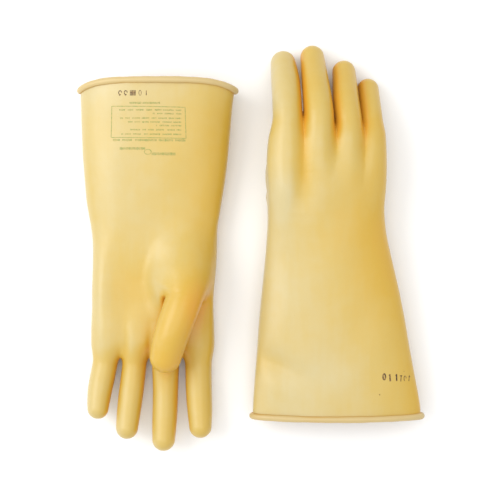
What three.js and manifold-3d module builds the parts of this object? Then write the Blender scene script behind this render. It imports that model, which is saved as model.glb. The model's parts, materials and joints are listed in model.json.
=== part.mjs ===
// A pair of electrical insulating gloves, laid out flat side by side.
// The low-x glove is the left-hand one. It lies on its back, palm and thumb up, fingers towards -Y.
// The high-x glove is the right-hand one. It lies palm down on its folded-under thumb and its fingertips, fingers towards +Y.
// Each glove is a hollow dipped rubber skin with a rolled bead round the mouth. The skin is divided where it flexes:
// at the wrist and at the middle of each finger and of the thumb, with a wedge-shaped gap at each so that both sides can turn.
// Millimetres, +Z up. The origin is the middle of the pair's footprint, on the surface that it lies on.
import * as THREE from "three";
import { mergeVertices } from "three/addons/utils/BufferGeometryUtils.js";
import Module from "manifold-3d";

const wasm = await Module();
wasm.setup();

// ---- driving dimensions ----
const WALL = 2.4; // skin thickness
const BEAD_R = 3.2; // radius of the rolled bead
const BEAD_OUT = 1.5; // how far the bead's centre stands outside the middle of the skin
const GAP = 0.35; // clearance between two solids that face each other
const BODY_SIDES = 24; // facets round the gauntlet and the hand
const DIGIT_SIDES = 10; // facets round a finger
const DIGIT_STEPS = 6; // sections along a finger
const BEAD_STEPS = 32; // sections round the bead
const WRIST = { back: 30, flex: 40 }; // degrees each way: back is away from the palm, flex towards it
const THUMB = { back: 0, flex: 50 }; // the thumb starts folded against the palm, and lifts away from it
const MIDDLE = [-0.65, 1.85]; // middle of the pair's footprint in the x and y of the sections below

// Sections of the gauntlet and hand: [y, low x, high x, lowest z, highest z, roundness, roll in degrees]
// Digits: centreline points [x, y, z, radius], from inside the hand to the centre of the round tip
const GLOVES = {
  left: {
    way: -1, // the fingers point towards -Y
    palm: 1, // the palm faces +Z
    finger: { back: 10, flex: 75 }, // the fingers lie almost straight
    mouthBulge: [8, 5.5, 2.5],
    body: [
      [157.0, -170.5, -16.9, 3.2, 59, 2.05, 0],
      [144.3, -170.2, -19.4, 2.0, 57, 2.1, 0],
      [120.6, -169.5, -21.4, 1.0, 54, 2.1, 0],
      [90.9, -168.8, -24.0, -1.0, 50, 2.15, 0],
      [67.0, -167.1, -27.0, -1.5, 46.5, 2.2, 0],
      [43.1, -165.3, -31.1, -1.5, 43, 2.25, 0],
      [25.1, -161.8, -34.1, -1.5, 40.5, 2.3, 0],
      [9.0, -159.6, -36.8, -1.5, 39.5, 2.3, 0],
      [-16.1, -159.5, -38.1, -1.5, 40, 2.3, 0],
      [-41.1, -160.5, -38.1, -1.5, 40, 2.3, 0],
      [-66.3, -160.2, -39.7, -1.5, 37, 2.3, 0],
      [-89.6, -160.0, -40.2, -0.5, 32.5, 2.4, 0],
      [-103.8, -159.2, -40.8, 0.8, 29, 2.4, 0],
    ],
    wristY: 9,
    digits: {
      little: { hinge: -129.5, line: [[-144.0, -81.6, 15.5, 13], [-146.7, -107.9, 14.2, 12.5], [-150.6, -129.0, 15, 12.5], [-153.5, -146.7, 18, 11.9], [-154.3, -159.6, 21.5, 10.6]] },
      ring: { hinge: -140, line: [[-115.8, -81.6, 15.5, 13], [-118.3, -113.9, 14.2, 12.3], [-120.9, -138.0, 15, 12.4], [-123.5, -161.6, 19.5, 12.0], [-124.9, -178.7, 24.5, 11.0]] },
      middle: { hinge: -145, line: [[-86.6, -81.6, 15.5, 14], [-87.1, -117.9, 14.6, 13.7], [-87.1, -144.0, 15.4, 12.7], [-87.6, -169.6, 20, 12.5], [-88.2, -190.0, 26, 11.4]] },
      index: { hinge: -139, line: [[-55.4, -81.6, 15.5, 14], [-54.1, -113.9, 14.5, 13.5], [-53.6, -140.0, 15.3, 13.1], [-52.4, -161.6, 19.5, 12.5], [-51.6, -177.6, 24, 11.2]] },
    },
    thumb: { hinge: -68, line: [[-53.1, -3.0, 22, 20], [-58.4, -24.8, 36, 19.5], [-69.4, -57.7, 50.5, 17.8], [-79.6, -86.9, 51.5, 17], [-84.7, -105.8, 48, 15.6]] },
  },
  right: {
    way: 1,
    palm: -1,
    finger: { back: 35, flex: 40 }, // the fingers lie half bent
    mouthBulge: [1.5, 1, 0.5],
    body: [
      [-166.7, 0.5, 169.2, 3.2, 41.5, 2.15, 0],
      [-155.2, 1.0, 168.2, 2.2, 42.5, 2.15, 0],
      [-131.2, 2.5, 163.7, 1.0, 44, 2.2, 0],
      [-101.1, 5.0, 158.1, -1.0, 45.5, 2.2, 0],
      [-71.0, 7.0, 153.0, -1.0, 47, 2.2, 0],
      [-41.0, 10.0, 146.9, 0.5, 48.5, 2.2, 0],
      [-11.0, 13.0, 139.6, 3.5, 51, 2.2, 0],
      [13.9, 14.9, 133.7, 7, 54, 2.25, 1.5],
      [36.7, 16.8, 130.8, 11.5, 57.5, 2.25, 4],
      [58.3, 17.8, 131.8, 17, 61, 2.3, 6],
      [83.7, 18.7, 131.9, 23, 63, 2.3, 8],
      [107.1, 19.1, 130.2, 27, 63, 2.35, 8],
      [122.8, 20.1, 129.6, 30, 61.5, 2.4, 8],
    ],
    wristY: 27,
    digits: {
      index: { hinge: 151, line: [[34.7, 96.9, 48.5, 14.5], [34.2, 126.3, 48, 14.3], [33.9, 146.6, 42.5, 14.0], [33.0, 168.3, 29.5, 13.6], [31.4, 187.0, 14.5, 12.6]] },
      middle: { hinge: 156, line: [[64.2, 97.0, 47, 14.0], [64.2, 130.5, 46, 13.8], [63.4, 154.9, 38.5, 13.4], [61.9, 175.0, 26, 13.0], [60.8, 193.1, 13.5, 12.2]] },
      ring: { hinge: 147, line: [[94.9, 92.5, 43, 13.6], [94.8, 123.1, 42, 13.0], [93.8, 145.4, 35.5, 12.5], [92.8, 163.3, 24.5, 12.2], [92.6, 178.3, 13.5, 11.8]] },
      little: { hinge: 136, line: [[119.0, 83.0, 38, 12.8], [118.9, 113.8, 36, 12.2], [118.4, 134.4, 29.5, 11.9], [117.8, 148.8, 21.5, 11.5], [117.4, 161.0, 12.6, 11.0]] },
    },
    thumb: { hinge: 78, line: [[39.7, 12.9, 33, 19], [36.0, 35.0, 26, 18.5], [31.2, 77.4, 17.5, 17.0], [38.5, 106.0, 16.8, 16.3], [45.5, 124.5, 16.0, 15.4]] },
  },
};

const RUBBER = new THREE.MeshStandardMaterial({ color: 0xe8cf86, roughness: 0.42, metalness: 0 });
const BEAD = new THREE.MeshStandardMaterial({ color: 0xdcb26a, roughness: 0.4, metalness: 0 });
const deg = THREE.MathUtils.degToRad;
const spow = (v, e) => Math.sign(v) * Math.abs(v) ** e;

// ---- geometry helpers ----

// A closed solid through a list of rings, each the same number of points, with a fan at both ends.
function loft(rings) {
  const n = rings[0].length;
  const position = rings.flat().flatMap((p) => [p.x, p.y, p.z]);
  const index = [];
  for (let k = 0; k + 1 < rings.length; k++)
    for (let i = 0; i < n; i++) {
      const a = k * n + i, b = k * n + ((i + 1) % n), c = a + n, d = b + n;
      index.push(a, b, d, a, d, c);
    }
  for (const [k, turn] of [[0, false], [rings.length - 1, true]]) {
    const centre = rings[k].reduce((s, p) => s.add(p), new THREE.Vector3()).divideScalar(n);
    const m = position.length / 3;
    position.push(centre.x, centre.y, centre.z);
    for (let i = 0; i < n; i++) {
      const a = k * n + i, b = k * n + ((i + 1) % n);
      index.push(...(turn ? [m, a, b] : [m, b, a]));
    }
  }
  const g = new THREE.BufferGeometry();
  g.setAttribute("position", new THREE.Float32BufferAttribute(position, 3));
  g.setIndex(index);
  return g;
}

// A closed three.js geometry as a manifold-3d solid, turned the right way out.
function solid(geometry) {
  const g = geometry.clone();
  g.deleteAttribute("normal");
  g.deleteAttribute("uv");
  const merged = mergeVertices(g, 1e-4);
  const vertProperties = new Float32Array(merged.attributes.position.array);
  const triVerts = new Uint32Array(merged.index.array);
  const v = vertProperties;
  let volume = 0;
  for (let i = 0; i < triVerts.length; i += 3) {
    const [a, b, c] = [0, 1, 2].map((j) => new THREE.Vector3().fromArray(v, 3 * triVerts[i + j]));
    volume += a.dot(b.cross(c));
  }
  if (volume < 0)
    for (let i = 0; i < triVerts.length; i += 3) [triVerts[i], triVerts[i + 1]] = [triVerts[i + 1], triVerts[i]];
  return new wasm.Manifold(new wasm.Mesh({ numProp: 3, vertProperties, triVerts }));
}

function geometryOf(manifold) {
  const m = manifold.getMesh();
  const position = new Float32Array(m.numVert * 3);
  for (let i = 0; i < m.numVert; i++) position.set(m.vertProperties.subarray(i * m.numProp, i * m.numProp + 3), i * 3);
  const g = new THREE.BufferGeometry();
  g.setAttribute("position", new THREE.BufferAttribute(position, 3));
  g.setIndex(new THREE.BufferAttribute(new Uint32Array(m.triVerts), 1));
  g.computeVertexNormals();
  return g;
}

// One ring of the gauntlet or hand, inset from the outside, flattened where it would pass the supporting surface.
function bodyRing([y, x0, x1, z0, z1, n, roll], inset, way, bulge = 0) {
  const cx = (x0 + x1) / 2, cz = (z0 + z1) / 2;
  const a = (x1 - x0) / 2 - inset, b = (z1 - z0) / 2 - inset;
  const c = Math.cos(deg(roll)), s = Math.sin(deg(roll));
  const ring = [];
  for (let i = 0; i < BODY_SIDES; i++) {
    const t = (2 * Math.PI * (i + 0.5)) / BODY_SIDES;
    const px = a * spow(Math.cos(t), 2 / n), pz = b * spow(Math.sin(t), 2 / n);
    const z = Math.max(cz - px * s + pz * c, inset);
    ring.push(new THREE.Vector3(cx + px * c + pz * s, y - way * bulge * (1 - (px / a) ** 2), z));
  }
  return ring;
}

// The gauntlet and hand in one: a loft from the mouth to the rounded end between the fingers.
function bodySolid(glove, inset) {
  const rings = glove.body.map((s, i) => bodyRing(s, inset, glove.way, glove.mouthBulge[i] ?? 0));
  const last = glove.body.at(-1);
  for (const [on, wide, high] of [[6, 0.96, 0.82], [10, 0.88, 0.5]]) {
    const [y, x0, x1, z0, z1, n, roll] = last;
    const cx = (x0 + x1) / 2, cz = (z0 + z1) / 2, a = ((x1 - x0) / 2) * wide, b = ((z1 - z0) / 2) * high;
    rings.push(bodyRing([y + glove.way * (on - inset), cx - a, cx + a, cz - b, cz + b, n, roll], inset, glove.way));
  }
  if (inset) {
    // The hollow runs out past the mouth, so that the skin is open there.
    const out = rings[0].map((p) => p.clone().add(new THREE.Vector3(0, -glove.way * 14, 0)));
    rings.unshift(out);
  }
  return solid(loft(rings));
}

// The centreline of a digit as a curve, with its radius along the way.
function digitLine(line) {
  const curve = new THREE.CatmullRomCurve3(line.map(([x, y, z]) => new THREE.Vector3(x, y, z)), false, "centripetal");
  const radius = (t) => {
    const f = t * (line.length - 1), i = Math.min(Math.floor(f), line.length - 2);
    return THREE.MathUtils.lerp(line[i][3], line[i + 1][3], f - i);
  };
  return { curve, radius };
}

// Horizontal and upright directions square to a digit's own direction.
function across(tangent) {
  const side = new THREE.Vector3().crossVectors(tangent, new THREE.Vector3(0, 0, 1)).normalize();
  return { side, up: new THREE.Vector3().crossVectors(side, tangent).normalize() };
}

// A finger or thumb: a round-ended taper along its centreline, grown by more where more is positive.
function digitSolid(line, more) {
  const { curve, radius } = digitLine(line);
  const rings = [];
  const ring = (centre, tangent, r) => {
    const { side, up } = across(tangent);
    return Array.from({ length: DIGIT_SIDES }, (_, i) => {
      const t = (2 * Math.PI * i) / DIGIT_SIDES;
      const p = centre.clone().addScaledVector(side, r * Math.cos(t)).addScaledVector(up, r * Math.sin(t) * 0.97);
      if (p.z < Math.max(0, -more)) p.z = Math.max(0, -more);
      return p;
    });
  };
  for (let k = 0; k <= DIGIT_STEPS; k++) {
    const t = k / DIGIT_STEPS;
    rings.push(ring(curve.getPoint(t), curve.getTangent(t), radius(t) + more));
  }
  const end = curve.getPoint(1), way = curve.getTangent(1), r = radius(1) + more;
  for (const a of [28, 54, 76])
    rings.push(ring(end.clone().addScaledVector(way, r * Math.sin(deg(a))), way, r * Math.cos(deg(a))));
  return solid(loft(rings));
}

// A flexing place: its pivot, the direction towards the far side, the direction that it bends to, and its turning axis.
function hingeAt(point, distal, bendTo) {
  const d = distal.clone().normalize();
  const n = bendTo.clone().addScaledVector(d, -bendTo.dot(d)).normalize();
  return { point, d, n, axis: new THREE.Vector3().crossVectors(d, n) };
}

// Everything on the far side (side 1) or the near side (side -1) of a hinge, less the wedges that its turning needs.
function wedge(hinge, range, side, gap = GAP, reach = 90, deep = 420) {
  const front = Math.tan(deg(range.flex / 2)) * reach, behind = Math.tan(deg(range.back / 2)) * reach;
  const shape = new THREE.Shape(
    [[gap, 0], [gap + front, reach], [deep, reach], [deep, -reach], [gap + behind, -reach]].map(([s, r]) => new THREE.Vector2(side * s, r)),
  );
  const g = new THREE.ExtrudeGeometry(shape, { depth: 2 * deep, bevelEnabled: false });
  g.translate(0, 0, -deep);
  g.applyMatrix4(new THREE.Matrix4().makeBasis(hinge.d, hinge.n, hinge.axis).setPosition(hinge.point));
  return solid(g);
}

// The pivot of a digit where its centreline crosses a given y.
function digitHinge(glove, digit, offset) {
  const { curve, radius } = digitLine(digit.line);
  let t = 0;
  for (let k = 0; k <= 400; k++)
    if (Math.abs(curve.getPoint(k / 400).y - digit.hinge) < Math.abs(curve.getPoint(t).y - digit.hinge)) t = k / 400;
  const d = curve.getTangent(t), bend = new THREE.Vector3(0, 0, glove.palm);
  const h = hingeAt(curve.getPoint(t), d, bend);
  h.point.addScaledVector(h.n, radius(t) * offset);
  return h;
}

// The rolled bead: a torus carried round the mouth.
function beadSolid(glove, more) {
  const torus = new THREE.TorusGeometry(100, BEAD_R + more, 8, BEAD_STEPS);
  const p = torus.attributes.position;
  const [y, x0, x1, z0, z1, n] = glove.body[0];
  const cx = (x0 + x1) / 2, cz = (z0 + z1) / 2, a = (x1 - x0) / 2 - WALL / 2 + BEAD_OUT, b = (z1 - z0) / 2 - WALL / 2 + BEAD_OUT;
  for (let i = 0; i < p.count; i++) {
    const x = p.getX(i), yy = p.getY(i), t = Math.atan2(yy, x), out = Math.hypot(x, yy) - 100;
    const px = a * spow(Math.cos(t), 2 / n), pz = b * spow(Math.sin(t), 2 / n);
    const nx = spow(Math.abs(px / a), n - 1) * Math.sign(px) / a, nz = spow(Math.abs(pz / b), n - 1) * Math.sign(pz) / b;
    const l = Math.hypot(nx, nz);
    p.setXYZ(i, cx + px + (out * nx) / l, y - glove.way * glove.mouthBulge[0] * (1 - (px / a) ** 2) + p.getZ(i), Math.max(cz + pz + (out * nz) / l, more ? -9 : 0));
  }
  return solid(torus);
}

function mesh(name, manifold, material) {
  const m = new THREE.Mesh(geometryOf(manifold), material);
  m.name = name;
  return m;
}

// ---- one glove ----
function buildGlove(side, glove) {
  const group = new THREE.Group();
  const outer = bodySolid(glove, 0), inner = bodySolid(glove, WALL);
  const mid = glove.body.find(([y]) => Math.abs(y - glove.wristY) < 12) ?? glove.body[7];
  const wrist = hingeAt(new THREE.Vector3(0, glove.wristY, (mid[3] + mid[4]) / 2), new THREE.Vector3(0, glove.way, 0), new THREE.Vector3(0, 0, glove.palm));
  const near = wedge(wrist, WRIST, -1), far = wedge(wrist, WRIST, 1);

  const bead = beadSolid(glove, 0);
  const gauntlet = outer.subtract(inner).intersect(near).subtract(beadSolid(glove, GAP));

  let skin = outer, hollow = inner;
  const parts = [];
  for (const [name, digit] of Object.entries(glove.digits)) {
    const h = digitHinge(glove, digit, 0.4);
    const full = digitSolid(digit.line, 0), inside = digitSolid(digit.line, -WALL);
    skin = skin.add(full.intersect(wedge(h, glove.finger, -1)));
    hollow = hollow.add(inside.intersect(wedge(h, glove.finger, -1, GAP - 1)));
    parts.push([`${side}_${name}_finger`, full.subtract(inside).intersect(wedge(h, glove.finger, 1)), h]);
  }
  const h = digitHinge(glove, glove.thumb, 0.25);
  const full = digitSolid(glove.thumb.line, 0), inside = digitSolid(glove.thumb.line, -WALL);
  skin = skin.add(full.intersect(wedge(h, THUMB, -1)));
  hollow = hollow.add(inside.intersect(wedge(h, THUMB, -1, GAP - 1)));
  const thumb = full.subtract(inside).intersect(wedge(h, THUMB, 1));
  const clear = digitSolid(glove.thumb.line, 0.5).intersect(wedge(h, THUMB, 1, -0.2));
  const hand = skin.subtract(hollow).intersect(far).subtract(clear);

  group.add(mesh(`${side}_cuff_bead`, bead, BEAD));
  group.add(mesh(`${side}_gauntlet`, gauntlet, RUBBER));
  group.add(mesh(`${side}_hand`, hand, RUBBER));
  group.add(mesh(`${side}_thumb`, thumb, RUBBER));
  for (const [name, m] of parts) group.add(mesh(name, m, RUBBER));
  group.userData = { wrist, thumb: h, fingers: Object.fromEntries(parts.map(([name, , hinge]) => [name, hinge])) };
  return group;
}

const pair = new THREE.Group();
pair.position.set(-MIDDLE[0], -MIDDLE[1], 0);
for (const [side, glove] of Object.entries(GLOVES)) pair.add(buildGlove(side, glove));

export default pair;
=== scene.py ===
# A pair of dipped rubber insulating gloves, laid out flat: left-hand glove palm up, right-hand glove palm down.
# Each glove is worked out as one smooth implicit surface (millimetres, +Z up), meshed, thickened to the real wall,
# and divided only where it has to bend. The divisions share their vertices and normals, so that the skin looks seamless.
import bpy, json, math
import numpy as np
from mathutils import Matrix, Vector


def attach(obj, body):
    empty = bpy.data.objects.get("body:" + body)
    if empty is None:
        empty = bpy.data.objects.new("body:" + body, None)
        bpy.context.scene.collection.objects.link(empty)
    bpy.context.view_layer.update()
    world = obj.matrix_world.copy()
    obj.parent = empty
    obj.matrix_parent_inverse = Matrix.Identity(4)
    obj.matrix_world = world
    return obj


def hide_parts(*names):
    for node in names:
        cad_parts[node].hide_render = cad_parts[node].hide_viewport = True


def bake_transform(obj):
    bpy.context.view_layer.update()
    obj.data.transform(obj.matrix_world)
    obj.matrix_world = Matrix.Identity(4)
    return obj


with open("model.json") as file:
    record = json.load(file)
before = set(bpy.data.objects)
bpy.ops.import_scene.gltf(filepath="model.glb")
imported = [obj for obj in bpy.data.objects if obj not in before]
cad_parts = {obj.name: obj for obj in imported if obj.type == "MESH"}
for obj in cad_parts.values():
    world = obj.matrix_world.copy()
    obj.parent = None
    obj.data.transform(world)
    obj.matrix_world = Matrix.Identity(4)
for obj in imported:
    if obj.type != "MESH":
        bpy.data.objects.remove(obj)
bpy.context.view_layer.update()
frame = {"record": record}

WALL = 2.4
CELL = 2.0
OFF = np.array([0.65, -1.85, 0.0])  # from the sections' own numbers to the row frame
RNG = np.random.default_rng(20)

# ------------------------------------------------------------------ camera, floor, light
cam_data = bpy.data.cameras.new("camera")
cam = bpy.data.objects.new("camera", cam_data)
bpy.context.collection.objects.link(cam)
cam.location = (-0.00135, -0.00285, 1.2)
cam.rotation_euler = (0, 0, 0)
cam_data.sensor_width = 36
cam_data.lens = 84.67
bpy.context.scene.camera = cam


def new_mat(name):
    m = bpy.data.materials.new(name)
    m.use_nodes = True
    nt = m.node_tree
    bsdf = nt.nodes["Principled BSDF"]
    return m, nt, bsdf


def area(name, loc, rot, size, power, colour=(1, 1, 1)):
    d = bpy.data.lights.new(name, "AREA")
    d.shape = "RECTANGLE"
    d.size, d.size_y = size
    d.energy = power
    d.color = colour
    o = bpy.data.objects.new(name, d)
    o.location = loc
    o.rotation_euler = [math.radians(a) for a in rot]
    bpy.context.collection.objects.link(o)
    return o


# ------------------------------------------------------------------ field helpers
def smin(a, b, k):
    k = np.maximum(k, 1e-3)
    h = np.clip(0.5 + 0.5 * (b - a) / k, 0, 1)
    return b * (1 - h) + a * h - k * h * (1 - h)


def smax(a, b, k):
    return -smin(-a, -b, k)


def cubic(x, y, xq):
    """Natural cubic spline through the columns of y."""
    x = np.asarray(x, float)
    y = np.asarray(y, float)
    n = len(x)
    h = np.diff(x)
    A = np.zeros((n, n))
    A[0, 0] = A[-1, -1] = 1
    r = np.zeros((n,) + y.shape[1:])
    for i in range(1, n - 1):
        A[i, i - 1], A[i, i], A[i, i + 1] = h[i - 1], 2 * (h[i - 1] + h[i]), h[i]
        r[i] = 6 * ((y[i + 1] - y[i]) / h[i] - (y[i] - y[i - 1]) / h[i - 1])
    m = np.linalg.solve(A, r)
    i = np.clip(np.searchsorted(x, xq) - 1, 0, n - 2)
    t = (xq - x[i])
    hi = h[i]
    if y.ndim > 1:
        t, hi = t[:, None], hi[:, None]
    a = y[i]
    b = (y[i + 1] - y[i]) / hi - hi * (2 * m[i] + m[i + 1]) / 6
    return a + t * (b + t * (m[i] / 2 + t * (m[i + 1] - m[i]) / (6 * hi)))


def smooth_rows(rows):
    """Dense table of a glove's sections along y, low y first, gently smoothed."""
    R = np.array(sorted(rows), float)
    y = np.arange(R[0, 0] - 30, R[-1, 0] + 30, 0.5)
    yc = np.clip(y, R[0, 0], R[-1, 0])
    T = np.stack([np.interp(yc, R[:, 0], R[:, k]) for k in range(1, 7)], 1)
    k = np.exp(-0.5 * (np.arange(-36, 37) * 0.5 / 6.5) ** 2)
    k /= k.sum()
    pad = np.pad(T, ((36, 36), (0, 0)), mode="edge")
    T = np.stack([np.convolve(pad[:, j], k, "valid") for j in range(6)], 1)
    return y, T


def tube(P, table):
    y, T = table
    t = (P[:, 1] - y[0]) / 0.5
    i = np.clip(t.astype(int), 0, len(y) - 2)
    f = np.clip(t - i, 0, 1)[:, None]
    C = T[i] * (1 - f) + T[i + 1] * f
    x0, x1, z0, z1, n, roll = C.T
    a, b = (x1 - x0) / 2, (z1 - z0) / 2
    c, s = np.cos(np.radians(roll)), np.sin(np.radians(roll))
    dx, dz = P[:, 0] - (x0 + x1) / 2, P[:, 2] - (z0 + z1) / 2
    u, v = dx * c - dz * s, dx * s + dz * c
    p, q = np.abs(u) / a, np.abs(v) / b
    g = np.maximum((p**n + q**n) ** (1 / n), 1e-3)
    gx, gz = (p / g) ** (n - 1) / a, (q / g) ** (n - 1) / b
    return (g - 1) / np.sqrt(gx * gx + gz * gz + 1e-12), u / a, v / b


def spine(line, m=26):
    """Points and radii along a digit, and the distance along it."""
    L = np.array(line, float)
    c = np.concatenate([[0], np.cumsum(np.linalg.norm(np.diff(L[:, :3], axis=0), axis=1))])
    q = cubic(c, L, np.linspace(0, c[-1], m))
    s = np.concatenate([[0], np.cumsum(np.linalg.norm(np.diff(q[:, :3], axis=0), axis=1))])
    return q, s


def digit(P, sp, lo=0, margin=26.0, flat=1.0):
    """Distance to a round-ended digit from spine point lo on, and the distance along it."""
    q, s = sp
    out = np.full(len(P), 60.0)
    along = np.zeros(len(P))
    r = q[:, 3].max() + margin
    m = np.all((P > q[lo:, :3].min(0) - r) & (P < q[lo:, :3].max(0) + r), axis=1)
    if not m.any():
        return out, along
    V = P[m]
    best = np.full(len(V), 1e9)
    ba = np.zeros(len(V))
    for k in range(lo, len(q) - 1):
        A, B = q[k, :3], q[k + 1, :3]
        ab = B - A
        w = V - A
        t = np.clip(w @ ab / (ab @ ab), 0, 1)
        e = w - t[:, None] * ab
        d = np.sqrt(e[:, 0] ** 2 + e[:, 1] ** 2 + (e[:, 2] / flat) ** 2) - (q[k, 3] + t * (q[k + 1, 3] - q[k, 3]))
        j = d < best
        best[j] = d[j]
        ba[j] = (s[k] + t * (s[k + 1] - s[k]))[j]
    out[m] = best
    along[m] = ba
    return out, along


def blob(P, A, B, ra, rb):
    A, B = np.array(A, float), np.array(B, float)
    ab = B - A
    t = np.clip((P - A) @ ab / (ab @ ab), 0, 1)
    return np.linalg.norm(P - A - t[:, None] * ab, axis=1) - (ra + t * (rb - ra))


def groove(P, pts, width, depth, fade=18.0):
    """How far a soft channel along pts (x, y) presses the surface in."""
    pts = np.array(pts, float)
    best = np.full(len(P), 1e9)
    for A, B in zip(pts[:-1], pts[1:]):
        ab = B[:2] - A[:2]
        w = P[:, :2] - A[:2]
        t = np.clip(w @ ab / (ab @ ab), 0, 1)
        e = np.linalg.norm(w - t[:, None] * ab, axis=1)
        k = A[2] + t * (B[2] - A[2]) if len(A) > 2 else 1.0
        best = np.minimum(best, (e / width) ** 2 - np.log(np.maximum(k, 1e-3)))
    return depth * np.exp(-best)


def bump(P, x, y, sx, sy, h, turn=0.0):
    c, s = math.cos(math.radians(turn)), math.sin(math.radians(turn))
    dx, dy = P[:, 0] - x, P[:, 1] - y
    u, v = dx * c + dy * s, -dx * s + dy * c
    return h * np.exp(-((u / sx) ** 2) - (v / sy) ** 2)


def swell(P, phase):
    """Slow unevenness of a hand-dipped skin, under half a millimetre."""
    x, y = P[:, 0], P[:, 1]
    return 0.32 * np.sin(x / 15.0 + phase) * np.sin(y / 27.0 + 2.1 * phase) + 0.22 * np.sin(x / 9.0 - y / 31.0 + 3.7 * phase) * np.sin(y / 17.0 + phase)


# ------------------------------------------------------------------ the two gloves
LEFT = dict(
    way=-1, palm=1, mouth=(157.0, 7.5), curl=5.0,
    rows=[
        [157.0, -170.5, -16.9, 3.2, 59, 2.05, 0], [144.3, -170.2, -19.4, 2.0, 57, 2.1, 0], [120.6, -169.5, -21.4, 1.0, 54, 2.1, 0],
        [90.9, -168.8, -24.0, -1.0, 50, 2.15, 0], [67.0, -167.1, -27.0, -1.5, 46.5, 2.2, 0], [43.1, -165.3, -31.1, -1.5, 43, 2.25, 0],
        [25.1, -161.8, -34.1, -1.5, 40.5, 2.3, 0], [9.0, -159.6, -36.8, -1.5, 39.5, 2.3, 0], [-16.1, -159.5, -38.1, -1.5, 40, 2.3, 0],
        [-41.1, -160.5, -38.1, -1.5, 40, 2.3, 0], [-66.3, -160.2, -39.7, -1.5, 37, 2.3, 0], [-89.6, -160.0, -40.2, -0.5, 32.5, 2.4, 0],
        [-103.8, -159.2, -40.8, 0.8, 29, 2.4, 0]],
    end=-106.0, wrist=7.2 + 1.85, wrist_blend=(34, 36),
    digits=dict(
        little=[[-140.0, -44.0, 8, 8.5], [-144.0, -81.6, 15.5, 13], [-146.7, -107.9, 14.2, 12.5], [-150.6, -129.0, 15, 12.5], [-153.5, -146.7, 18, 11.9], [-154.3, -159.6, 21.5, 10.6]],
        ring=[[-113.0, -44.0, 8, 8.5], [-115.8, -81.6, 15.2, 12.8], [-118.3, -113.9, 14.2, 12.3], [-120.9, -138.0, 15, 12.4], [-123.5, -161.6, 19.5, 12.0], [-124.9, -178.7, 24.5, 11.0]],
        middle=[[-87.0, -44.0, 8, 9.0], [-86.6, -81.6, 15.5, 13.6], [-87.1, -117.9, 14.6, 13.7], [-87.1, -144.0, 15.4, 12.7], [-87.6, -169.6, 20, 12.5], [-88.2, -190.0, 26, 11.4]],
        index=[[-58.0, -44.0, 8, 9.0], [-55.4, -81.6, 15.5, 13.8], [-54.1, -113.9, 14.5, 13.5], [-53.6, -140.0, 15.3, 13.1], [-52.4, -161.6, 19.5, 12.5], [-51.6, -177.6, 24, 11.2]],
        thumb=[[-60.0, 4.0, 14, 18], [-61.5, -26.0, 35, 19], [-69.4, -57.7, 50.5, 17.8], [-79.6, -86.9, 51.5, 17], [-84.7, -105.8, 48, 15.6]]),
    half=dict(little=12.5, ring=13, middle=13.5, index=13.5, thumb=12.0),
)
RIGHT = dict(
    way=1, palm=-1, mouth=(-166.7, 1.5), curl=2.0,
    rows=[
        [-166.7, 0.5, 169.2, 3.2, 41.5, 2.15, 0], [-155.2, 1.0, 168.2, 2.2, 42.5, 2.15, 0], [-131.2, 2.5, 163.7, 1.0, 44, 2.2, 0],
        [-101.1, 5.0, 158.1, -1.0, 45.5, 2.2, 0], [-71.0, 7.0, 153.0, -1.0, 47, 2.2, 0], [-41.0, 10.0, 146.9, 0.5, 48.5, 2.2, 0],
        [-11.0, 13.0, 139.6, 3.5, 51, 2.2, 0], [13.9, 14.9, 133.7, 7, 54, 2.25, 1.5], [36.7, 16.2, 131.3, 11.5, 57.5, 2.25, 4],
        [58.3, 15.2, 131.6, 17, 61, 2.3, 6], [83.7, 13.8, 130.6, 22, 62, 2.3, 8], [107.1, 16.4, 128.6, 25, 59, 2.35, 8],
        [122.8, 20.6, 127.2, 28, 54, 2.4, 7]],
    end=120.0, wrist=25.1 + 1.85, wrist_blend=(34, 28),
    digits=dict(
        index=[[46.0, 22.0, 28, 10], [37.5, 66.0, 42.5, 13.4], [34.9, 96.9, 48.5, 14.5], [34.9, 126.3, 48, 14.7], [34.4, 146.6, 42.5, 14.5], [33.2, 168.3, 29.5, 14.2], [31.4, 187.0, 14.5, 12.5]],
        middle=[[67.0, 48.0, 32, 10], [64.6, 74.0, 42.0, 12.8], [65.0, 97.0, 47, 14.4], [65.5, 130.5, 46, 15.1], [63.7, 154.9, 38.5, 14.1], [62.1, 175.0, 26, 13.0], [60.8, 193.1, 13.5, 12.0]],
        ring=[[91.5, 46.0, 29, 10], [94.0, 70.0, 38.5, 12.6], [95.2, 92.5, 43, 13.4], [95.3, 123.1, 42, 13.4], [93.0, 145.4, 35.5, 13.2], [92.8, 163.3, 24.5, 12.4], [92.6, 178.3, 13.5, 11.7]],
        little=[[112.0, 40.0, 27, 9.5], [117.0, 62.0, 34, 11.4], [118.6, 83.0, 38, 12.2], [119.1, 113.8, 36, 11.6], [118.0, 134.4, 29.5, 11.3], [117.2, 148.8, 21.5, 11.1], [116.9, 161.0, 12.6, 10.9]],
        thumb=[[46.0, 4.0, 20, 11], [38.0, 36.0, 22, 15.5], [30.8, 77.4, 17.5, 17.2], [38.5, 106.0, 16.8, 16.3], [45.5, 124.5, 16.0, 15.4]]),
    half=dict(little=11.5, ring=12.5, middle=13.0, index=13.0, thumb=14.0),
)
GLOVES = {"left": LEFT, "right": RIGHT}
FINGERS = ("index", "middle", "ring", "little")

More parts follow.
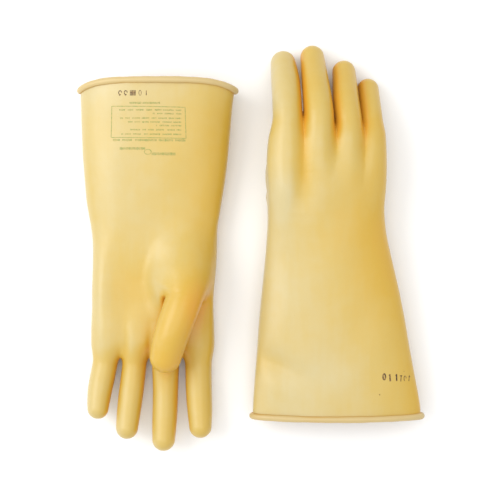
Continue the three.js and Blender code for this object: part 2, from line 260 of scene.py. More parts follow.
for side, G in GLOVES.items():
    G["table"] = smooth_rows(G["rows"])
    G["spine"] = {f: spine(l) for f, l in G["digits"].items()}
    G["hinge"] = {}
    for j in frame["record"]["behaviour"]["joints"]:
        if j["name"].startswith(side) and j["name"].endswith("_knuckle"):
            f = j["name"].split("_")[1]
            p = np.array(j["pos_m"]) * 1000 - OFF
            q, s = G["spine"][f]
            k = int(np.argmin(np.linalg.norm(q[:, :3] - p, axis=1)))
            k = min(max(k, 1), len(q) - 2)
            d = q[k + 1, :3] - q[k - 1, :3]
            d /= np.linalg.norm(d)
            sh = s[k] + (p - q[k, :3]) @ d
            G["hinge"][f] = (p, d, sh)


def left_relief(P, u, v):
    """What the left glove's surface is pressed in by, in millimetres, on its palm side."""
    top = np.clip((v + 0.1) / 0.5, 0, 1)
    top = top * top * (3 - 2 * top)
    h = bump(P, -122, -40, 21, 40, 8.0, 3)  # hollow of the palm
    h += bump(P, -53, -66, 8.0, 30, 4.0, -6)  # channel between the thumb and the index side
    h -= bump(P, -150, -50, 9, 46, 2.2)  # heel of the little-finger side
    h += groove(P, [(-103, 14, 0.2), (-104, -8, 0.7), (-105, -30, 1.0), (-102, -52, 1.0), (-99, -70, 0.6)], 10.0, 2.2)  # foot of the thumb's mound
    h -= groove(P, [(-74, 22, 0.2), (-86, 4, 0.8), (-91, -16, 1.0), (-93, -34, 0.9), (-91, -48, 0.5)], 10.0, 1.6)  # its crest
    h += bump(P, -60, 60, 40, 40, 1.6)
    h -= bump(P, -135, 70, 26, 60, 1.2)
    h += bump(P, -95, 118, 50, 22, 1.3)
    h += swell(P, 0.4)
    h += bump(P, -125, -96, 3.5, 16, 2.2) + bump(P, -101, -98, 3.5, 16, 1.6) + bump(P, -71, -98, 3.5, 14, 1.6)
    return h * top


def right_relief(P, u, v):
    """The same for the right glove, on its back."""
    top = np.clip((v + 0.1) / 0.5, 0, 1)
    top = top * top * (3 - 2 * top)
    h = groove(P, [(50.0, 36, 0.08), (50.0, 54, 0.45), (49.6, 74, 0.75), (49.8, 100, 0.65), (49.8, 122, 0.55), (49.8, 138, 0.9)], 10.5, 6.5)
    h += groove(P, [(80, 84, 0.12), (81, 104, 0.7), (80.5, 140, 1.1)], 8.0, 6.0)
    h += groove(P, [(107.5, 82, 0.15), (108, 102, 0.8), (107.5, 135, 1.1)], 7.0, 5.0)
    h -= bump(P, 31, 52, 10, 30, 2.4)  # index ridge
    h += bump(P, 92, 40, 34, 30, 1.2)
    h += bump(P, 27, -116, 24, 11, 4.2, -28)  # soft dent by the cuff
    h -= bump(P, 45, -60, 30, 60, 1.2)
    h += swell(P, 2.3)
    h += bump(P, 110, -70, 26, 70, 1.4)
    return h * top


def field(P, side, shrink=0.0, parts=False):
    """Signed distance to a glove's outside, about exact near the surface. shrink thins what stands close beside something else."""
    G = GLOVES[side]
    body, u, v = tube(P, G["table"])
    way = G["way"]
    body = smax(body, way * (P[:, 1] - G["end"]), 15.0)
    body = body + (left_relief if side == "left" else right_relief)(P, u, v)
    if side == "left":
        m = blob(P, (-68, 22, 10), (-73, -26, 25), 20, 25)  # mound of the thumb
        body = smin(body, m, 14.0)
        m = blob(P, (-74, -8, 24), (-77.5, -40, 34.5), 14, 15.5)  # web up to the thumb
        body = smin(body, m, 11.0)
    else:
        m = blob(P, (50, -20, 14), (36, 66, 24), 14, 17)
        body = smin(body, m, 12.0)
        # webs at the foot of the fingers
        body = smin(body, blob(P, (50.2, 96, 43), (50.2, 116, 43), 9, 8.5), 4.0)
        body = smin(body, blob(P, (81.2, 92, 38), (81.2, 111, 37), 8, 7.5), 4.0)
    fing = np.full(len(P), 60.0)
    each = {}
    for f in FINGERS:
        d, _ = digit(P, G["spine"][f])
        d = d + shrink
        each[f] = d
        fing = smin(fing, d, 0.6 if shrink or side == "right" else 2.5)
    d = smin(body, fing, 11.0)
    # the thumb: fused with the hand at its root, and free further on, where the hand gives way to it
    p, ax, sh = G["hinge"]["thumb"]
    T, along = digit(P, G["spine"]["thumb"])
    free = G["half"]["thumb"] + 1.0
    w = np.clip(((P - p) @ ax + free + 14.0) / 14.0, 0, 1)
    w = w * w * (3 - 2 * w)
    gap = -15.0 + 17.0 * w + 0.4 * shrink * w
    d = smax(d, -(T - gap), 5.0)
    k = 15.0 * (1 - w) + 0.6
    T = T + shrink * w
    d = smin(d, T, k)
    # what lies on the surface is flat there
    d = smax(d, -(P[:, 2] - 0.0), 2.0)
    if parts:
        return d, each, T, along
    return d


def grad(P, side, e=0.25):
    g = np.empty_like(P)
    for a in range(3):
        o = np.zeros(3)
        o[a] = e
        g[:, a] = field(P + o, side) - field(P - o, side)
    return g / (2 * e)


def settle(P, side, n=4):
    for _ in range(n):
        d = field(P, side)
        g = grad(P, side)
        l = np.maximum((g * g).sum(1), 0.2)
        P = P - np.clip(d / l, -1.5, 1.5)[:, None] * g
    return P


def surface_nets(D, org, h):
    """Quads through the zero level of D, and their vertices."""
    nx, ny, nz = D.shape
    S = D < 0
    cs = np.zeros((nx - 1, ny - 1, nz - 1, 3), np.float32)
    cn = np.zeros((nx - 1, ny - 1, nz - 1), np.float32)
    ax = [None] * 3
    for a in range(3):
        n = D.shape[a]
        D0, D1 = np.take(D, range(n - 1), a), np.take(D, range(1, n), a)
        C = (D0 < 0) != (D1 < 0)
        t = np.where(C, D0 / np.where(C, D0 - D1, 1), 0)
        ax[a] = C
        I = np.indices(C.shape, dtype=np.float32)
        pos = [I[0], I[1], I[2]]
        pos[a] = pos[a] + t
        o1, o2 = [b for b in range(3) if b != a]
        for d1 in (0, 1):
            for d2 in (0, 1):
                sl = [slice(None)] * 3
                sl[o1] = slice(d1, D.shape[o1] - 1 + d1)
                sl[o2] = slice(d2, D.shape[o2] - 1 + d2)
                sl = tuple(sl)
                m = C[sl]
                cn += m
                for c in range(3):
                    cs[..., c] += np.where(m, pos[c][sl], 0)
    used = cn > 0
    idx = np.full(cn.shape, -1, np.int64)
    idx[used] = np.arange(used.sum())
    V = cs[used] / cn[used][:, None] * h + org
    quads = []
    for a in range(3):
        o1, o2 = (a + 1) % 3, (a + 2) % 3
        C = ax[a]
        I = np.argwhere(C)
        ok = (I[:, o1] >= 1) & (I[:, o1] <= D.shape[o1] - 2) & (I[:, o2] >= 1) & (I[:, o2] <= D.shape[o2] - 2)
        I = I[ok]
        inside = S[I[:, 0], I[:, 1], I[:, 2]]

        def cell(d1, d2):
            J = I.copy()
            J[:, o1] -= d1
            J[:, o2] -= d2
            return idx[J[:, 0], J[:, 1], J[:, 2]]
        q = np.stack([cell(1, 1), cell(0, 1), cell(0, 0), cell(1, 0)], 1)
        q[~inside] = q[~inside][:, ::-1]
        quads.append(q)
    return V.astype(float), np.concatenate(quads)


def mouth_y(P, G):
    """Where the mouth lies along the glove, in millimetres, at each point's x."""
    y0, bulge = G["mouth"]
    r = min(G["rows"], key=lambda r: abs(r[0] - y0))
    cx, a = (r[1] + r[2]) / 2, (r[2] - r[1]) / 2
    ym = y0 - G["way"] * bulge * (1 - np.clip(np.abs((P[:, 0] - cx) / a) ** G["curl"], 0, 1.2))
    return ym


def relax(V, F, side, n=3, hold=None):
    """Evens out the mesh along the surface."""
    e = np.concatenate([F[:, [0, 1]], F[:, [1, 2]], F[:, [2, 3]], F[:, [3, 0]]])
    e = np.unique(np.sort(e, 1), axis=0)
    for _ in range(n):
        s = np.zeros_like(V)
        c = np.zeros(len(V))
        for i, j in ((0, 1), (1, 0)):
            np.add.at(s, e[:, i], V[e[:, j]])
            np.add.at(c, e[:, i], 1)
        m = s / c[:, None] - V
        g = grad(V, side)
        g /= np.linalg.norm(g, axis=1)[:, None] + 1e-9
        m -= (m * g).sum(1)[:, None] * g
        if hold is not None:
            m[hold] = 0
        V = V + 0.5 * m
    return V


def make_skin(side):
    G = GLOVES[side]
    rows = np.array(G["rows"])
    allq = np.concatenate([q for q, s in G["spine"].values()])
    lo = np.array([min(rows[:, 1].min(), (allq[:, 0] - allq[:, 3]).min()) - 6, min(rows[:, 0].min(), (allq[:, 1] - allq[:, 3]).min()) - 8, -5])
    hi = np.array([max(rows[:, 2].max(), (allq[:, 0] + allq[:, 3]).max()) + 6, max(rows[:, 0].max(), (allq[:, 1] + allq[:, 3]).max()) + 12, 78])
    if G["way"] < 0:
        hi[1] = G["mouth"][0] + 14
    else:
        lo[1] = G["mouth"][0] - 8
    # coarse field, then fine where the surface can be
    H = CELL * 3
    n = np.ceil((hi - lo) / H).astype(int) + 1
    gx, gy, gz = [lo[a] + H * np.arange(n[a]) for a in range(3)]
    Q = np.stack(np.meshgrid(gx, gy, gz, indexing="ij"), -1).reshape(-1, 3)
    Dc = field(Q, side).reshape(n)
    nf = (n - 1) * 3 + 1
    D = Dc
    for a in range(3):
        m = D.shape[a]
        t = np.arange((m - 1) * 3 + 1) / 3.0
        i = np.minimum(t.astype(int), m - 2)
        f = t - i
        shape = [1, 1, 1]
        shape[a] = len(t)
        f = f.reshape(shape)
        D = np.take(D, i, a) * (1 - f) + np.take(D, i + 1, a) * f
    near = np.abs(D) < 8.5
    ii = np.argwhere(near)
    P = lo + CELL * ii
    D[near] = field(P, side, shrink=1.1)
    V, F = surface_nets(D, lo, CELL)
    V = settle(V, side, 4)
    # cut at the mouth
    c = V[F].mean(1)
    past = G["way"] * (c[:, 1] - mouth_y(c, G)) < 0
    F = F[~past]
    V, F = compact(V, F)
    e = np.concatenate([F[:, [0, 1]], F[:, [1, 2]], F[:, [2, 3]], F[:, [3, 0]]])
    u, cnt = np.unique(np.sort(e, 1), axis=0, return_counts=True)
    rim = np.unique(u[cnt == 1])
    V = relax(V, F, side, 4, hold=rim)
    V[rim, 1] = mouth_y(V[rim], G)
    V = settle(V, side, 2)
    V[rim, 1] = mouth_y(V[rim], G)
    return V, F, rim


def compact(V, F, *extra):
    used = np.unique(F)
    m = np.full(len(V), -1)
    m[used] = np.arange(len(used))
    return (V[used], m[F]) + tuple(x[used] for x in extra)


# ------------------------------------------------------------------ materials
def rubber(name, pale, mid, warm, deep, seed=0.0, rough=0.35):
    m, nt, b = new_mat(name)
    N, Lk = nt.nodes, nt.links
    tc = N.new("ShaderNodeTexCoord")
    mp = N.new("ShaderNodeMapping")
    mp.inputs["Location"].default_value = (seed, seed * 0.7, 0)
    Lk.new(tc.outputs["Object"], mp.inputs["Vector"])

    def noise(scale, detail=3.0, rough_=0.5, vec=None):
        n = N.new("ShaderNodeTexNoise")
        n.inputs["Scale"].default_value = scale
        n.inputs["Detail"].default_value = detail
        n.inputs["Roughness"].default_value = rough_
        Lk.new(vec or mp.outputs["Vector"], n.inputs["Vector"])
        return n.outputs["Fac"]

    def math_(op, a, b_=None, clamp=False):
        n = N.new("ShaderNodeMath")
        n.operation = op
        n.use_clamp = clamp
        for i, x in enumerate((a, b_)):
            if x is None:
                continue
            if isinstance(x, (int, float)):
                n.inputs[i].default_value = x
            else:
                Lk.new(x, n.inputs[i])
        return n.outputs[0]

    # the point attribute carries painted shade in folds and grooves, painted highlights and a painted turn from light
    # to shade; the noises below add the rubber's own uneven tone
    at = N.new("ShaderNodeAttribute")
    at.attribute_name = "painted_shade_tone"
    cloud = noise(14.0, 4.0)
    mott = noise(75.0, 3.0)
    st = N.new("ShaderNodeMapping")
    st.inputs["Scale"].default_value = (1.0, 0.12, 1.0)
    Lk.new(tc.outputs["Object"], st.inputs["Vector"])
    streak = noise(150.0, 2.0, vec=st.outputs["Vector"])
    fac = math_("ADD", at.outputs["Fac"], math_("MULTIPLY", math_("SUBTRACT", cloud, 0.5), 0.30))
    fac = math_("ADD", fac, math_("MULTIPLY", math_("SUBTRACT", mott, 0.5), 0.12))
    fac = math_("ADD", fac, math_("MULTIPLY", math_("SUBTRACT", streak, 0.5), 0.10), clamp=True)
    ramp = N.new("ShaderNodeValToRGB")
    e = ramp.color_ramp.elements
    e[0].position, e[0].color = 0.0, (*pale, 1)
    e[1].position, e[1].color = 1.0, (*deep, 1)
    for at_, col in ((0.30, mid), (0.58, warm)):
        k = e.new(at_)
        k.color = (*col, 1)
    Lk.new(fac, ramp.inputs["Fac"])
    # tiny specks in the dipped skin
    vo = N.new("ShaderNodeTexVoronoi")
    vo.inputs["Scale"].default_value = 95.0
    Lk.new(mp.outputs["Vector"], vo.inputs["Vector"])
    speck = math_("LESS_THAN", vo.outputs["Distance"], 0.035)
    hsv = N.new("ShaderNodeHueSaturation")
    Lk.new(ramp.outputs["Color"], hsv.inputs["Color"])
    Lk.new(math_("SUBTRACT", 1.0, math_("MULTIPLY", speck, 0.10)), hsv.inputs["Value"])
    Lk.new(hsv.outputs["Color"], b.inputs["Base Color"])
    fine = noise(900.0, 2.0)
    Lk.new(math_("ADD", rough - 0.06, math_("MULTIPLY", noise(40.0, 3.0), 0.12)), b.inputs["Roughness"])
    bump_ = N.new("ShaderNodeBump")
    bump_.inputs["Strength"].default_value = 0.35
    bump_.inputs["Distance"].default_value = 0.0006
    hgt = math_("ADD", math_("MULTIPLY", noise(60.0, 3.0), 1.0), math_("MULTIPLY", fine, 0.10))
    hgt = math_("ADD", hgt, math_("MULTIPLY", streak, 0.25))
    Lk.new(hgt, bump_.inputs["Height"])
    Lk.new(bump_.outputs["Normal"], b.inputs["Normal"])
    b.inputs["IOR"].default_value = 1.5
    b.inputs["Coat Weight"].default_value = 0.18
    b.inputs["Coat Roughness"].default_value = 0.24
    b.inputs["Specular IOR Level"].default_value = 0.45
    return m


def ink(name, colour, under, strength, scale):
    """Worn ink: it lets the rubber's colour through in patches."""
    m, nt, b = new_mat(name)
    N, Lk = nt.nodes, nt.links
    tc = N.new("ShaderNodeTexCoord")
    n = N.new("ShaderNodeTexNoise")
    n.inputs["Scale"].default_value = scale
    n.inputs["Detail"].default_value = 4.0
    Lk.new(tc.outputs["Object"], n.inputs["Vector"])
    ramp = N.new("ShaderNodeValToRGB")
    e = ramp.color_ramp.elements
    e[0].position, e[0].color = 0.36, (*under, 1)
    e[1].position, e[1].color = 0.36 + strength, (*colour, 1)
    Lk.new(n.outputs["Fac"], ramp.inputs["Fac"])
    Lk.new(ramp.outputs["Color"], b.inputs["Base Color"])
    r = N.new("ShaderNodeMapRange")
    r.inputs["To Min"].default_value = 0.42
    r.inputs["To Max"].default_value = 0.6
    Lk.new(n.outputs["Fac"], r.inputs["Value"])
    Lk.new(r.outputs["Result"], b.inputs["Roughness"])
    bump_ = N.new("ShaderNodeBump")
    bump_.inputs["Strength"].default_value = 0.2
    bump_.inputs["Distance"].default_value = 0.0002
    Lk.new(n.outputs["Fac"], bump_.inputs["Height"])
    Lk.new(bump_.outputs["Normal"], b.inputs["Normal"])
    return m


# four steps of one rubber colour along the painted shade tone: pale where painted light falls, mid and warm on the turn
# to shade, deep in painted shade; the bead has its own four
PALE, MID, WARM, DEEP = (0.575, 0.475, 0.235), (0.575, 0.410, 0.105), (0.585, 0.365, 0.045), (0.66, 0.330, 0.030)
MAT_SKIN = {"left": rubber("rubber_left", PALE, MID, WARM, DEEP, 0.0), "right": rubber("rubber_right", PALE, MID, WARM, DEEP, 3.1)}
MAT_BEAD = rubber("rubber_bead", (0.57, 0.43, 0.19), (0.56, 0.375, 0.125), (0.52, 0.29, 0.06), (0.44, 0.20, 0.03), 5.3, 0.38)
MAT_GREEN = ink("ink_green", (0.17, 0.27, 0.055), (0.42, 0.36, 0.10), 0.30, 420.0)
MAT_DARK = ink("ink_dark", (0.045, 0.018, 0.008), (0.30, 0.17, 0.05), 0.22, 520.0)


# ------------------------------------------------------------------ pieces
def to_m(V):
    return (np.asarray(V) + OFF) / 1000.0


def mesh_object(name, V, F, mat, normals=None, painted_shade_tone=None, smooth=True):
    me = bpy.data.meshes.new(name)
    me.from_pydata([tuple(p) for p in to_m(V)], [], [tuple(int(i) for i in f) for f in F])
    me.update()
    if smooth:
        me.shade_smooth()
    # the tone of painted light and shade is stored per point for the rubber material
    if painted_shade_tone is not None:
        a = me.attributes.new("painted_shade_tone", "FLOAT", "POINT")
        a.data.foreach_set("value", np.asarray(painted_shade_tone, np.float32))
    if normals is not None:
        me.normals_split_custom_set_from_vertices([tuple(n) for n in normals])
    me.materials.append(mat)
    o = bpy.data.objects.new(name, me)
    bpy.context.collection.objects.link(o)
    return o


def boundary(F):
    """Edges with one face, in that face's direction."""
    e = np.concatenate([F[:, [0, 1]], F[:, [1, 2]], F[:, [2, 3]], F[:, [3, 0]]])
    key = np.sort(e, 1)
    u, inv, cnt = np.unique(key, axis=0, return_inverse=True, return_counts=True)
    return e[cnt[inv.ravel()] == 1]


def shell(name, V, N, Fo, painted_tone, mat):
    """A closed skin of the real thickness under the outer faces Fo."""
    V, F, N, painted_tone = compact(V, Fo, N, painted_tone)
    n = len(V)
    inner = V - N * WALL
    b = boundary(F)
    rim = np.stack([b[:, 1], b[:, 0], b[:, 0] + n, b[:, 1] + n], 1)
    allF = np.concatenate([F, F[:, ::-1] + n, rim])
    return mesh_object(name, np.concatenate([V, inner]), allF, mat, np.concatenate([N, -N]), np.concatenate([painted_tone, np.full(n, 0.55)]))


def painted_shade_tone_of(V, N, side):
    """Tone of the rubber, 0 pale to 1 deep, which paints light and shade into the colour: painted shade deep in the
    folds, painted light that makes one side of each glove paler than the other, and painted highlights and patches of
    painted shade placed one by one.
    """
    # painted shade: the tone deepens where the glove's own surface closes in around a point, as shade does in folds and
    # hollows
    c = np.zeros(len(V))
    for h, w in ((3.0, 0.20), (7.0, 0.30), (14.0, 0.30), (24.0, 0.20)):
        c += w * np.clip(1.0 - field(V + N * h, side) / h, 0, 1.2)
    c = np.clip(c * 1.5, 0, 1)
    r = np.array(GLOVES[side]["rows"])
    mid = (r[:, 1].min() + r[:, 2].max()) / 2
    across = np.clip((V[:, 0] - mid) / 80.0, -1, 1)
    G = GLOVES[side]
    relief = (left_relief if side == "left" else right_relief)(V, None, np.ones(len(V)))
    near = np.clip(1 - np.abs(V[:, 1] - G["mouth"][0]) / 45.0, 0, 1) ** 2
    # painted light and shade: paler where the surface faces left and towards each glove's left side, deeper where it
    # faces right; the relief term deepens hollows and pales ridges as painted shade; the tone is also paler near the
    # mouth
    t = 0.22 + (0.62 if side == "left" else 0.75) * c + 0.15 * N[:, 0] + 0.11 * across + 0.030 * relief - 0.10 * near
    if side == "left":
        T, along = digit(V, G["spine"]["thumb"])
        sh = G["hinge"]["thumb"][2]
        # painted shade along the thumb's free edge, where it leaves the palm
        t += 0.30 * np.clip(1 - np.abs(T) / 8, 0, 1) * np.clip((along - sh + 52) / 38, 0, 1)
        # painted shade in the channel beside the thumb
        t += bump(V, -55, -52, 12, 30, 0.26)
        # painted highlight: a paler strip on the little-finger heel
        t -= bump(V, -150, -45, 9, 45, 0.08)
        # deeper towards the fingertips
        t += 0.11 * np.clip((-95 - V[:, 1]) / 30, 0, 1)
        # patches of painted shade
        t += bump(V, -45, 60, 22, 60, 0.08) + bump(V, -158, 88, 15, 40, 0.08)
    else:
        # painted shade in the valley behind the index finger
        t += bump(V, 50.5, 84, 8, 30, 0.22)
        # painted highlight: a paler streak on the index ridge
        t -= bump(V, 33, 44, 8, 28, 0.14)
        # patches of painted shade towards the little-finger side
        t += bump(V, 95, 8, 48, 50, 0.12) + bump(V, 124, -15, 26, 60, 0.10)
        # deeper tone on the fingers, with painted shade that follows which way the surface faces, most on left-facing
        # sides
        for f, top, edge in (("index", 0.05, 0.0), ("middle", 0.14, 0.22), ("ring", 0.16, 0.22), ("little", 0.14, 0.20)):
            d, along = digit(V, G["spine"][f])
            on = np.clip(1 - np.abs(d) / 5, 0, 1) * np.clip((along - G["hinge"][f][2] + 40) / 40, 0, 1)
            t += on * (top + edge * np.clip(0.35 - 1.1 * N[:, 0], 0, 1))
        # a paler patch by the cuff: painted light
        t -= bump(V, 60, -125, 55, 22, 0.12)
    return np.clip(t, 0, 1)


PIECES = {}
SKIN = {}
for side, G in GLOVES.items():
    V, F, rim = make_skin(side)
    N = grad(V, side)
    N /= np.linalg.norm(N, axis=1)[:, None] + 1e-9
    painted_tone = painted_shade_tone_of(V, N, side)
    SKIN[side] = (V, F, N, painted_tone)
    c = V[F].mean(1)
    label = np.zeros(len(F), int)  # 0 forearm, 1 hand, 2.. digits
    wy, (up, down) = G["wrist"], G["wrist_blend"]
    label[G["way"] * (c[:, 1] - wy) > down + 2.0] = 1
    d, each, T, along = field(c, side, parts=True)
    names = ["forearm", "hand"]
    for f in FINGERS + ("thumb",):
        p, ax, sh = G["hinge"][f]
        s = (c - p) @ ax
        own = np.abs(T if f == "thumb" else each[f]) < (1.2 if f == "thumb" else 3.0)
        if f != "thumb":
            own &= np.abs(each[f]) <= np.min([np.abs(each[g]) for g in FINGERS], axis=0) + 1e-6
        m = own & (s > -G["half"][f] - 2.0) & (s < 110)
        if f == "thumb":
            m &= along > sh - G["half"][f] - 6
        label[m] = len(names)
        names.append(f)
    for i, nm in enumerate(names):
        sel = F[label == i]
        if not len(sel):
            continue
        o = shell(f"{side}_{nm}_skin", V, N, sel, painted_tone, MAT_SKIN[side])
        PIECES[(side, nm)] = o
        if nm == "forearm":
            x = (G["rows"][7][1] + G["rows"][7][2]) / 2
            z = frame_z = 0.02
            a = np.array([x, wy - G["way"] * up, 20.0])
            b = np.array([x, wy + G["way"] * down, 20.0])
            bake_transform(o)
            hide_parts(f"{side}_gauntlet")
        elif nm == "hand":
            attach(o, f"{side}_hand")
            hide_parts(f"{side}_hand")
        else:
            p, ax, sh = G["hinge"][nm]
            body = f"{side}_thumb" if nm == "thumb" else f"{side}_{nm}_finger"
            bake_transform(o)
            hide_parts(body)

    # the rolled bead
    r = min(G["rows"], key=lambda r: abs(r[0] - G["mouth"][0]))
    cx, cz = (r[1] + r[2]) / 2, (r[3] + r[4]) / 2
    a, b, n = (r[2] - r[1]) / 2 + 0.3, (r[4] - r[3]) / 2 + 0.3, r[5]
    K, S = 260, 22
    th = np.linspace(0, 2 * np.pi, K, endpoint=False)
    px = a * np.sign(np.cos(th)) * np.abs(np.cos(th)) ** (2 / n)
    pz = b * np.sign(np.sin(th)) * np.abs(np.sin(th)) ** (2 / n)
    # even spacing along the rim
    ring = np.stack([px, pz], 1)
    seg = np.linalg.norm(np.roll(ring, -1, 0) - ring, axis=1)
    cum = np.concatenate([[0], np.cumsum(seg)])
    q = np.linspace(0, cum[-1], K, endpoint=False)
    ring = np.stack([np.interp(q, cum, np.append(ring[:, j], ring[0, j])) for j in (0, 1)], 1)
    C = np.stack([cx + ring[:, 0], np.zeros(K), cz + ring[:, 1]], 1)
    C[:, 1] = mouth_y(C, G)
    tan = np.roll(C, -1, 0) - np.roll(C, 1, 0)
    tan /= np.linalg.norm(tan, axis=1)[:, None]
    out = np.stack([ring[:, 0] / a**2, np.zeros(K), ring[:, 1] / b**2], 1)
    out -= (out * tan).sum(1)[:, None] * tan
    out /= np.linalg.norm(out, axis=1)[:, None]
    bi = np.cross(tan, out)
    ph = np.linspace(0, 2 * np.pi, S, endpoint=False)
    wob = 1 + 0.035 * np.sin(5 * th + 1.3) + 0.025 * np.sin(11 * th + 0.4) + 0.02 * np.sin(23 * th)
    BV = C[:, None] + (3.15 * wob)[:, None, None] * (np.cos(ph)[None, :, None] * out[:, None] + 1.02 * np.sin(ph)[None, :, None] * bi[:, None])
    BV = BV.reshape(-1, 3)
    BV[:, 2] = np.maximum(BV[:, 2], 0.05)
    i, j = np.meshgrid(np.arange(K), np.arange(S), indexing="ij")
    BF = np.stack([i * S + j, i * S + (j + 1) % S, ((i + 1) % K) * S + (j + 1) % S, ((i + 1) % K) * S + j], -1).reshape(-1, 4)
    v0 = BV[BF[:, 0]]
    vol = (v0 * np.cross(BV[BF[:, 1]], BV[BF[:, 2]])).sum() + (v0 * np.cross(BV[BF[:, 2]], BV[BF[:, 3]])).sum()
    if vol < 0:
        BF = BF[:, ::-1]
    # painted shade where the bead meets the skin: its tone deepens close to the glove's surface
    sd = field(BV, side)
    bead = mesh_object(f"{side}_bead", BV, BF, MAT_BEAD, painted_shade_tone=np.clip(0.8 - np.abs(sd) / 3.0, 0, 1))
    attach(bead, f"{side}_gauntlet")
    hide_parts(f"{side}_cuff_bead")
    PIECES[(side, "bead")] = bead


# ------------------------------------------------------------------ ink on the cuffs: strokes that can't be read
def onto(XY, side):
    """Points on the glove's top at these x, y, and the normals there."""
    P = np.column_stack([XY, np.full(len(XY), 80.0)])
    for _ in range(40):
        P[:, 2] -= 0.9 * field(P, side)
    n = grad(P, side)
    return P, n / np.linalg.norm(n, axis=1)[:, None]


def print_on(name, side, strokes, mat):
    """One thin closed piece of ink per stroke (points, width), laid along the surface."""
    V, F = [], []
    m = 0
    for pts, wd in strokes:
        pts = np.array(pts, float)
        L = np.linalg.norm(np.diff(pts, axis=0), axis=1)
        q = [pts[0]]
        for A, B, l in zip(pts[:-1], pts[1:], L):
            k = max(1, int(math.ceil(l / 2.5)))
            q += [A + (B - A) * (i + 1) / k for i in range(k)]
        q = np.array(q)
        t = np.gradient(q, axis=0)
        t /= np.linalg.norm(t, axis=1)[:, None]
        nn = np.stack([-t[:, 1], t[:, 0]], 1)
        V.append(np.concatenate([q + nn * wd / 2, q - nn * wd / 2]))
        k = len(q)
        F.append((m, k))
        m += 2 * k
    XY = np.concatenate(V)
    P, N = onto(XY, side)
    top, bot = P + 0.14 * N, P - 0.5 * N
    n = len(P)
    faces = []
    for m, k in F:
        l = lambda i: m + i
        r = lambda i: m + k + i
        for i in range(k - 1):
            faces.append([l(i), r(i), r(i + 1), l(i + 1)])
            faces.append([l(i) + n, l(i + 1) + n, r(i + 1) + n, r(i) + n])
            faces.append([l(i), l(i + 1), l(i + 1) + n, l(i) + n])
            faces.append([r(i + 1), r(i), r(i) + n, r(i + 1) + n])
        faces.append([l(0), l(0) + n, r(0) + n, r(0)])
        faces.append([l(k - 1), r(k - 1), r(k - 1) + n, l(k - 1) + n])
    o = mesh_object(name, np.concatenate([top, bot]), np.array(faces), mat, smooth=False)
    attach(o, f"{side}_gauntlet")
    return o


def row(x0, x1, y, h, slope=-0.012, word=7.0):
    """A row of small upright strokes in groups, too fine to read."""
    out = []
    x = x1
    while x > x0 + 1:
        end = max(x0, x - RNG.uniform(0.6, 1.5) * word)
        while x > end + 0.8:
            w = RNG.uniform(0.55, 1.0)
            hh = h * RNG.uniform(0.75, 1.0)
            yy = y + slope * (x - x1) * 0.6 + RNG.uniform(-0.08, 0.08)
            out.append(([(x - w / 2, yy - hh / 2), (x - w / 2, yy + hh / 2)], w * 0.72))
            if RNG.uniform() < 0.45:
                out.append(([(x - w, yy + RNG.choice([-1, 0, 1]) * hh * 0.38), (x, yy + RNG.choice([-1, 0, 1]) * hh * 0.38)], 0.36))
            x -= w + RNG.uniform(0.25, 0.45)
        x = end - RNG.uniform(1.2, 2.4)
    return out


def oval(cx, cy, a, b, turn=0.0, n=22, part=1.0):
    t = np.linspace(0, 2 * np.pi * part, n)
    c, s_ = math.cos(math.radians(turn)), math.sin(math.radians(turn))
    return [(cx + a * math.cos(u) * c - b * math.sin(u) * s_, cy + a * math.cos(u) * s_ + b * math.sin(u) * c) for u in t]


green = []
A, B, C, D = (-136.9, 139.3), (-65.3, 138.1), (-64.6, 108.2), (-138.0, 109.2)
for p0, p1 in ((A, B), (B, C), (C, D), (D, A)):
    green.append(([p0, p1], 0.55))
for x0, x1, y in ((-130.5, -69.2, 135.2), (-96.8, -69.2, 131.8), (-129.7, -69.2, 127.4), (-124.4, -69.2, 123.7), (-94.6, -69.2, 120.4), (-121.4, -69.2, 116.2), (-128.4, -69.2, 112.0)):
    green += row(x0, x1, y, 1.5)
green += row(-137.2, -65.3, 106.2, 2.3, word=16.0)
green += row(-119.9, -89.7, 142.0, 2.0, word=12.0)
green += row(-129.9, -104.5, 98.3, 2.6, word=30.0)
green += row(-98.8, -75.1, 93.0, 2.8, word=30.0)
green += [(oval(-102.0, 95.0, 3.4, 2.4), 0.55)]
print_on("left_label_print", "left", green, MAT_GREEN)

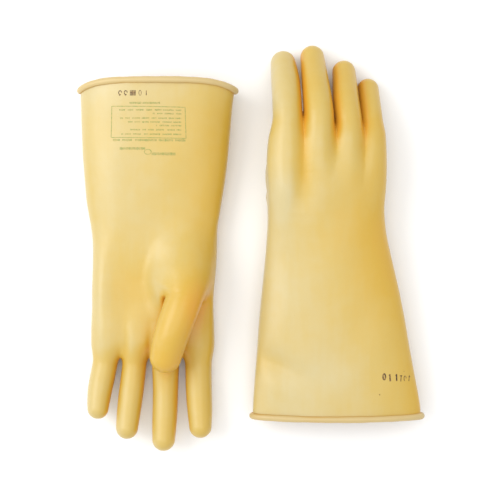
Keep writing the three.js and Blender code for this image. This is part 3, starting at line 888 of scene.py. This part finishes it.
dark = []
for x, w in ((-128.4, 1.0), (-122.8, 1.1), (-117.4, 1.5), (-114.6, 1.4), (-108.8, 0.55), (-102.8, 0.8)):
    y = 151.7
    if w > 1.3:
        for k in (-1.0, 0.1, 1.0):
            dark.append(([(x + k, y - 2.5), (x + k + 0.3, y + 2.5)], 0.62))
        dark.append(([(x - 1.3, y + 0.3), (x + 1.4, y - 0.2)], 0.9))
    elif w < 0.6:
        dark.append((oval(x, y, 1.2, 2.4), 0.42))
    elif w < 0.9:
        dark.append(([(x, y - 2.4), (x + 0.1, y + 2.2)], 0.7))
    else:
        dark.append((oval(x, y + 0.4, 1.4, 1.9, part=0.8), 0.75))
        dark.append(([(x - 0.9, y - 2.3), (x + 0.7, y - 1.2)], 0.75))
print_on("left_cuff_marks", "left", dark, MAT_DARK)

dark = [(oval(130.4, -126.0, 1.25, 2.9), 1.3), ([(136.0, -123.6), (136.5, -130.6)], 1.5), ([(135.1, -125.2), (136.4, -123.8)], 0.7),
        ([(142.7, -123.6), (143.0, -130.5)], 1.3), ([(141.7, -125.0), (143.0, -123.9)], 0.7), ([(147.6, -125.2), (147.1, -131.0)], 0.8), ([(146.2, -125.4), (148.8, -125.2)], 0.6),
        (oval(151.6, -128.2, 1.1, 2.5, part=0.7), 0.6), ([(156.2, -125.6), (155.6, -131.0)], 0.55), ([(155.2, -127.0), (157.0, -126.6)], 0.45),
        ([(125.6, -143.2), (126.2, -144.1)], 0.9), ([(150.3, -121.0), (150.8, -121.4)], 0.6)]
print_on("right_cuff_marks", "right", dark, MAT_DARK)


# ------------------------------------------------------------------ floor and light
m_floor, nt, b = new_mat("floor")
b.inputs["Base Color"].default_value = (0.95, 0.95, 0.95, 1)
b.inputs["Roughness"].default_value = 0.7
n = nt.nodes.new("ShaderNodeTexNoise")
n.inputs["Scale"].default_value = 3.0
bpy.ops.mesh.primitive_plane_add(size=6, location=(0, 0, 0))
floor = bpy.context.object
floor.name = "floor"
floor.data.materials.append(m_floor)
w = bpy.data.worlds.new("world")
bpy.context.scene.world = w
w.use_nodes = True
w.node_tree.nodes["Background"].inputs["Color"].default_value = (1, 1, 1, 1)
w.node_tree.nodes["Background"].inputs["Strength"].default_value = 0.88
area("key", (-0.95, 0.25, 1.05), (0, -42, -12), (0.8, 1.1), 8.6, (1.0, 0.985, 0.96))
area("rim", (-0.9, -0.02, 0.40), (0, -66, 0), (0.22, 1.2), 0.5)
area("top", (0.1, 0.1, 1.7), (0, 0, 0), (1.4, 1.4), 7.4)
bpy.context.scene.view_settings.view_transform = "Standard"
